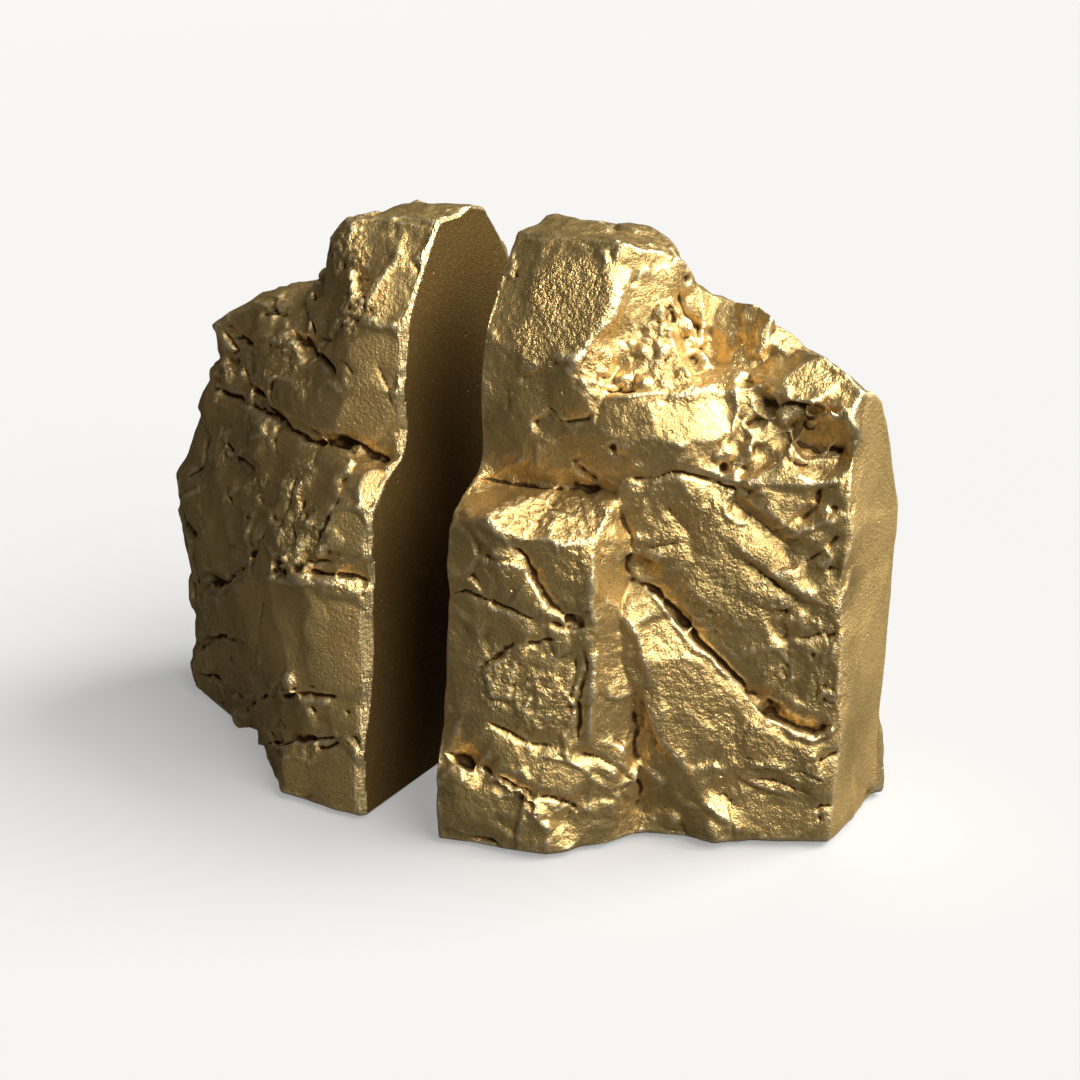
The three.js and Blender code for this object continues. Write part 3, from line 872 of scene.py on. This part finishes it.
LEFT_FACETS = [
    ((7, 30, 147), 6), ((9, 24, 132), 9), ((10, 22, 117), 8), ((24, 22, 116), 7), ((1, 13, 98), 6),
    ((30, 17, 99), 5), ((43, 27, 114), 7), ((49, 32, 124), 5), ((75, 42, 110), 6), ((65, 33, 99), 6),
    ((48, 23, 95), 5), ((17, 10, 94), 6), ((7, 6, 85), 6), ((27, 9, 82), 5), ((75, 33, 76), 7),
    ((77, 32, 58), 7), ((63, 23, 48), 8), ((24, 2, 57), 10), ((10, 3, 57), 9), ((35, 6, 45), 8),
    ((11, 2, 44), 8), ((25, 4, 26), 8), ((7, 2, 31), 6), ((9, -1, 13), 8), ((24, 0, 10), 6),
    ((67, 28, 27), 6), ((80, 35, 34), 5), ((44, 37, 134), 4), ((18, 37, 159), 6),
]
LEFT_LUMPS = [
    # head
    ((25, 36, 156), 9, 1, 2.4),
    ((16, 30, 148), 9, 1, 2.4),
    ((20, 27, 141), 7, 1, 2.4),
    # middle chunk
    ((45, 32, 126), 8, 1.2, 2.8),
    ((49, 30, 121), 6, 1, 2.8),
    ((32, 25, 117), 8, 0.7, 2.6),
    # left flank
    ((78, 43, 108), 6, 1, 3),
    ((77, 38, 90), 9, 1.1, 3.6),
    ((62, 31, 100), 8, 1, 3.4),
    ((83, 36, 73), 8, 0.9, 3.6),
    ((51, 22, 86), 9, 1, 3.6),
    # crumpled middle
    ((32, 16, 95), 8, 0.9, 3.4),
    ((24, 7, 80), 10, 1.2, 3.2),
    # lobes
    ((88, 41, 16), 9, 1.1, 3.8),
    ((76, 35, 10), 7, 1, 3.4),
    ((84, 37, 32), 7, 0.8, 3.4),
    # cracks
    ((27, 2, 35), 6, 0.8, 2.4),
    ((23, 1, 19), 6, 0.8, 2.2),
]
RIGHT_BACK_CRACKS = [
    # long back ledge
    ([(2, 102, 72), (14, 103, 69), (27, 103, 66), (40, 102, 69), (54, 102, 63), (68, 101, 60),
      (82, 99, 57)], 3.4, 4),
    # ledge under the crown
    ([(3, 98, 116), (14, 99, 112), (26, 99, 110), (38, 97, 113), (50, 97, 106), (60, 95, 108)], 3, 3.4),
    # seam down from the long ledge
    ([(30, 103, 66), (34, 103, 52), (29, 102, 38), (33, 101, 22), (30, 103, 6)], 2.4, 2.4),
    # second seam
    ([(62, 101, 61), (67, 101, 46), (61, 102, 30), (65, 101, 14), (62, 102, 3)], 2.4, 2),
    # left corner break
    ([(1, 102, 38), (10, 102, 34), (20, 102, 35), (29, 102, 30)], 2.2, 2),
    # slanted break
    ([(84, 95, 95), (76, 97, 84), (80, 98, 70), (70, 100, 60)], 3, 2.6),
    # crown
    ([(20, 84, 152), (26, 89, 142), (22, 94, 130), (27, 98, 118)], 2, 1.6),
    # lower break
    ([(36, 101, 22), (48, 102, 18), (60, 102, 22)], 2, 1.6),
]
LEFT_BACK_CRACKS = [
    # long back ledge
    ([(2, 101, 88), (15, 102, 84), (29, 102, 87), (43, 102, 80), (56, 100, 82), (70, 99, 74),
      (84, 94, 76)], 3.4, 4),
    # ledge under the crown
    ([(2, 93, 130), (12, 95, 126), (24, 94, 129), (34, 96, 122)], 3, 3),
    # seam down from the long ledge
    ([(24, 102, 85), (20, 103, 68), (26, 104, 52), (22, 103, 36), (26, 103, 20), (23, 103, 4)], 2.4, 2.4),
    # second seam
    ([(58, 100, 82), (53, 103, 66), (59, 103, 50), (54, 104, 33), (57, 103, 16)], 2.6, 2.2),
    # break between the seams
    ([(25, 103, 50), (36, 104, 46), (47, 104, 49), (57, 103, 45)], 2.6, 2.4),
    # slanted break
    ([(92, 89, 66), (82, 98, 54), (86, 95, 42), (74, 99, 30)], 3, 2.6),
    # shoulder
    ([(50, 94, 118), (62, 93, 112), (74, 88, 114), (84, 85, 106)], 2.6, 2.4),
    # low break
    ([(3, 102, 26), (13, 102, 22), (24, 103, 24)], 2.2, 1.8),
    # low left break
    ([(60, 103, 22), (72, 99, 18), (84, 96, 22)], 2, 1.6),
]
LEFT_CALM = [
    ((24, 2, 55), 16), ((8, 3, 54), 14), ((46, 12, 52), 12), ((15, 1, 45), 12), ((34, 6, 44), 10),
    ((9, -1, 11), 13), ((24, 0, 10), 9), ((17, 3, 28), 5.5), ((29, 4, 27), 4.5), ((7, 2, 31), 6),
    ((9, 24, 128), 10), ((11, 22, 116), 9), ((3, 24, 117), 6), ((8, 30, 148), 6), ((2, 14, 98), 6),
    ((7, 6, 85), 7), ((79, 34, 73), 8), ((77, 32, 57), 7),
]

# Each rock: its lists, how far across the flank turns smooth, bevel width, roughness of the front.
RIGHT = {
    "cracks": RIGHT_CRACKS + RIGHT_BACK_CRACKS, "ridges": RIGHT_RIDGES, "dents": RIGHT_DENTS,
    "facets": RIGHT_FACETS, "lumps": RIGHT_LUMPS, "calm": [],
    "smooth_beyond": 95.5, "bevel": 1.2, "front_roughness": 0.75,
}
LEFT = {
    "cracks": LEFT_CRACKS + LEFT_BACK_CRACKS, "ridges": LEFT_RIDGES, "dents": LEFT_DENTS,
    "facets": LEFT_FACETS, "lumps": LEFT_LUMPS, "calm": LEFT_CALM,
    "smooth_beyond": 200, "bevel": 2.2, "front_roughness": 1.0,
}


# ---------------------------------------------------------------- materials

class Shader:
    """A new material with short ways to add and join its nodes."""

    def __init__(self, name):
        self.material = bpy.data.materials.new(name)
        self.material.use_nodes = True
        self.tree = self.material.node_tree
        self.surface = self.tree.nodes["Principled BSDF"]
        self.place = self.add("ShaderNodeTexCoord").outputs["Object"]

    def add(self, kind, **settings):
        node = self.tree.nodes.new(kind)
        for key, value in settings.items():
            setattr(node, key, value)
        return node

    def join(self, source, socket):
        """Feeds a socket from another one, or sets it to a number or a colour."""
        if isinstance(source, bpy.types.NodeSocket):
            self.tree.links.new(source, socket)
        else:
            socket.default_value = source

    def noise(self, size, detail=2.0, roughness=0.5, stretch=None):
        """Noise from 0 to 1 with lumps about size millimetres across."""
        node = self.add("ShaderNodeTexNoise")
        node.inputs["Scale"].default_value = 1 / (size * MM)
        node.inputs["Detail"].default_value = detail
        node.inputs["Roughness"].default_value = roughness
        place = self.place
        if stretch:
            mapping = self.add("ShaderNodeMapping")
            mapping.inputs["Scale"].default_value = stretch
            self.join(place, mapping.inputs["Vector"])
            place = mapping.outputs["Vector"]
        self.join(place, node.inputs["Vector"])
        return node.outputs["Fac"]

    def cells(self, size):
        """Distance from the nearest of many scattered dots, size millimetres apart, in cell widths."""
        node = self.add("ShaderNodeTexVoronoi")
        node.inputs["Scale"].default_value = 1 / (size * MM)
        self.join(self.place, node.inputs["Vector"])
        return node.outputs["Distance"]

    def layer(self, name):
        """The number that add_layer stored under this name."""
        return self.add("ShaderNodeAttribute", attribute_name=name).outputs["Fac"]

    def ramp(self, value, low, high, out_low=0.0, out_high=1.0):
        """value from low to high, turned into out_low to out_high and held there outside."""
        node = self.add("ShaderNodeMapRange")
        for socket, setting in zip(node.inputs, (value, low, high, out_low, out_high)):
            self.join(setting, socket)
        return node.outputs["Result"]

    def maths(self, operation, a, b):
        node = self.add("ShaderNodeMath", operation=operation)
        self.join(a, node.inputs[0])
        self.join(b, node.inputs[1])
        return node.outputs["Value"]

    def blend(self, share, a, b):
        """Colour a where share is 0, and b where it is 1."""
        node = self.add("ShaderNodeMix", data_type="RGBA")
        self.join(share, node.inputs["Factor"])
        self.join(a, node.inputs["A"])
        self.join(b, node.inputs["B"])
        return node.outputs["Result"]

    def bump(self, height, size, below=None):
        """Surface relief: height is 0 to 1 and size its depth in millimetres."""
        node = self.add("ShaderNodeBump")
        node.inputs["Distance"].default_value = size * MM
        self.join(height, node.inputs["Height"])
        if below:
            self.join(below, node.inputs["Normal"])
        return node.outputs["Normal"]


def gold_paint():
    """Metallic gold paint: foil-like on the rock faces, sandy on the flat ones. Painted shade: brown in
    cracks, amber in wide hollows, dark on the book faces. Painted highlight: pale on crests and, with edge
    wear, along the bevel.
    """
    shader = Shader("gold_paint")
    gold = (0.76, 0.52, 0.20, 1)
    amber = (0.50, 0.355, 0.135, 1)
    brown = (0.09, 0.048, 0.015, 1)
    pale = (0.92, 0.77, 0.47, 1)
    # colour of the painted shade on the book faces
    book_face_shade = (0.25, 0.15, 0.04, 1)
    metallic = 0.86
    sanded_roughness = 0.52
    along_bevel = (1, 1, 0.04)
    sanded = shader.layer("sanded")
    crevice = shader.layer("crevice")
    valley = shader.layer("valley")
    pitted = shader.layer("pitted")
    wear_and_highlight = shader.layer("wear_and_highlight")
    inner = shader.layer("inner")

    patches = shader.noise(size=22, detail=3)
    mottle = shader.noise(size=3, detail=3, roughness=0.6)
    grain = shader.noise(size=0.45, detail=2, roughness=0.6)
    colour = shader.blend(shader.ramp(patches, low=0.42, high=0.68), gold, amber)
    # painted shade: wide hollows are painted towards darker amber, the deeper the more
    colour = shader.blend(shader.ramp(valley, low=0.15, high=1.0, out_high=0.35), colour, amber)
    colour = shader.blend(shader.ramp(mottle, low=0.5, high=0.75, out_high=0.35), colour, amber)
    # painted shade: the flat book faces, which face each other across the gap, are painted dark brownish
    # gold
    colour = shader.blend(inner, colour, book_face_shade)
    # painted highlight: crests and small ridges are painted pale
    colour = shader.blend(shader.ramp(crevice, low=-0.03, high=-0.16, out_high=0.6), colour, pale)
    # edge wear and painted highlight: the bevel strip is painted a little paler
    colour = shader.blend(shader.maths("MULTIPLY", wear_and_highlight, 0.25), colour, pale)
    colour = shader.blend(shader.ramp(grain, low=0.62, high=0.70, out_high=0.45), colour, pale)
    colour = shader.blend(shader.ramp(grain, low=0.40, high=0.32, out_high=0.5), colour, brown)
    # painted shade: small cracks and crevices are painted dark brown, the deeper the darker
    colour = shader.blend(shader.ramp(crevice, low=0.07, high=0.28), colour, brown)
    shader.join(colour, shader.surface.inputs["Base Color"])
    shader.surface.inputs["Metallic"].default_value = metallic

    broad = shader.ramp(patches, low=0.35, high=0.65, out_low=0.28, out_high=0.42)
    fine = shader.ramp(mottle, low=0.3, high=0.7, out_low=-0.05, out_high=0.10)
    deep = shader.ramp(crevice, low=0.05, high=0.3, out_high=0.25)
    roughness = shader.maths("ADD", shader.maths("ADD", broad, fine), deep)
    roughness = shader.maths("MAXIMUM", roughness, shader.maths("MULTIPLY", sanded, sanded_roughness))
    shader.join(roughness, shader.surface.inputs["Roughness"])

    foil = shader.noise(size=2.4, detail=3, roughness=0.55)
    foil = shader.maths("MULTIPLY", foil, shader.ramp(sanded, low=0, high=1, out_low=1, out_high=0.15))
    gravel = shader.noise(size=1.5, detail=3, roughness=0.6)
    gravel = shader.maths("MULTIPLY", gravel, shader.maths("ADD", pitted, 0.15))
    flutes = shader.noise(size=0.8, detail=1, stretch=along_bevel)
    flutes = shader.maths("MULTIPLY", flutes, wear_and_highlight)
    coarse = shader.maths("SUBTRACT", sanded, shader.maths("MULTIPLY", inner, 0.6))
    sand = shader.maths("MULTIPLY", shader.noise(size=1.0, detail=2, roughness=0.6), coarse)
    pinholes = shader.ramp(shader.cells(size=9), low=0.035, high=0.075)
    depths = ((foil, 0.6), (gravel, 0.9), (grain, 0.16), (sand, 0.4), (flutes, 0.5), (pinholes, 0.3))
    relief = None
    for height, depth in depths:
        relief = shader.bump(height, depth, relief)
    shader.join(relief, shader.surface.inputs["Normal"])
    return shader.material


def felt():
    """Dark pressed felt: short fibres with a little fuzz."""
    shader = Shader("felt")
    dark = (0.018, 0.017, 0.016, 1)
    light = (0.06, 0.056, 0.052, 1)
    fuzz = 0.4
    fibre_depth = 0.2
    fibres = shader.noise(size=0.5, detail=4, roughness=0.7)
    shader.join(shader.blend(fibres, dark, light), shader.surface.inputs["Base Color"])
    roughness = shader.ramp(fibres, low=0.2, high=0.8, out_low=0.85, out_high=1.0)
    shader.join(roughness, shader.surface.inputs["Roughness"])
    shader.surface.inputs["Sheen Weight"].default_value = fuzz
    shader.join(shader.bump(fibres, fibre_depth), shader.surface.inputs["Normal"])
    return shader.material


# ---------------------------------------------------------------- stage

def direction_from(azimuth, elevation):
    """Unit vector from the pair towards something, azimuth from the front towards the right."""
    a = math.radians(azimuth)
    e = math.radians(elevation)
    return Vector((math.sin(a) * math.cos(e), -math.cos(a) * math.cos(e), math.sin(e)))


def add_camera():
    data = bpy.data.cameras.new("camera")
    data.lens = LENS
    data.sensor_width = SENSOR
    camera = bpy.data.objects.new("camera", data)
    bpy.context.scene.collection.objects.link(camera)
    back = direction_from(VIEW_AZIMUTH, VIEW_ELEVATION)
    camera.location = VIEW_TARGET + back * VIEW_DISTANCE
    camera.rotation_euler = back.to_track_quat("Z", "Y").to_euler()
    bpy.context.scene.camera = camera


def add_sun(name, azimuth, elevation, strength, spread, colour):
    """A soft light from far away, at an azimuth from the front towards the right."""
    data = bpy.data.lights.new(name, "SUN")
    data.energy = strength
    data.angle = math.radians(spread)
    data.color = colour
    light = bpy.data.objects.new(name, data)
    bpy.context.scene.collection.objects.link(light)
    light.rotation_euler = direction_from(azimuth, elevation).to_track_quat("Z", "Y").to_euler()


def add_floor():
    """A wide pale floor that curves up far away, so that no horizon shows."""
    steps = np.linspace(0, FLOOR_RIM_ANGLE, 12)
    outline = [(FLOOR_RADIUS + FLOOR_CURVE * math.sin(a), FLOOR_CURVE * (1 - math.cos(a))) for a in steps]
    turns = [2 * math.pi * k / FLOOR_SIDES for k in range(FLOOR_SIDES)]
    points = [(r * math.cos(turn), r * math.sin(turn), z) for r, z in outline for turn in turns]
    faces = [tuple(range(FLOOR_SIDES))]
    faces += [face[::-1] for face in ring_faces(len(outline), FLOOR_SIDES)]
    mesh = bpy.data.meshes.new("floor")
    mesh.from_pydata(points, [], faces)
    mesh.polygons.foreach_set("use_smooth", [True] * len(mesh.polygons))
    floor = bpy.data.objects.new("floor", mesh)
    bpy.context.scene.collection.objects.link(floor)
    floor.visible_glossy = False
    shader = Shader("floor")
    shader.surface.inputs["Base Color"].default_value = (FLOOR_GREY, FLOOR_GREY, FLOOR_GREY, 1)
    shader.surface.inputs["Roughness"].default_value = 1.0
    shader.surface.inputs["Specular IOR Level"].default_value = 0.0
    shader.surface.inputs["Emission Color"].default_value = (1, 1, 0.99, 1)
    shader.surface.inputs["Emission Strength"].default_value = FLOOR_GLOW
    mesh.materials.append(shader.material)


def add_world():
    """Soft studio surroundings, brighter towards the right and overhead."""
    darkest = -0.2             # cosine of the angle from the bright side
    world = bpy.data.worlds.new("world")
    world.use_nodes = True
    nodes = world.node_tree.nodes
    links = world.node_tree.links
    place = nodes.new("ShaderNodeTexCoord")
    towards = nodes.new("ShaderNodeVectorMath")
    towards.operation = "DOT_PRODUCT"
    towards.inputs[1].default_value = direction_from(BRIGHT_AZIMUTH, BRIGHT_ELEVATION)
    strength = nodes.new("ShaderNodeMapRange")
    strength.inputs["From Min"].default_value = darkest
    strength.inputs["From Max"].default_value = 1.0
    strength.inputs["To Min"].default_value = WORLD_DARK
    strength.inputs["To Max"].default_value = WORLD_BRIGHT
    links.new(place.outputs["Generated"], towards.inputs[0])
    links.new(towards.outputs["Value"], strength.inputs["Value"])
    links.new(strength.outputs["Result"], nodes["Background"].inputs["Strength"])
    bpy.context.scene.world = world


add_camera()
add_floor()
add_world()
add_sun("key", azimuth=128, elevation=48, strength=4.2, spread=34, colour=(1.0, 0.99, 0.97))
add_sun("fill", azimuth=74, elevation=36, strength=4.2, spread=50, colour=(1.0, 0.98, 0.94))
bpy.context.scene.view_settings.view_transform = "Standard"

gold = gold_paint()
dark_felt = felt()
build_rock("left_rock", "left_rock_block", -1, "left_book_end", gold, LEFT)
build_rock("right_rock", "right_rock_block", 1, "right_book_end", gold, RIGHT)
for node in list(frame["nodes"]):
    if "felt_pad" in node:
        build_pad(node, node.split("_")[0] + "_book_end", dark_felt)
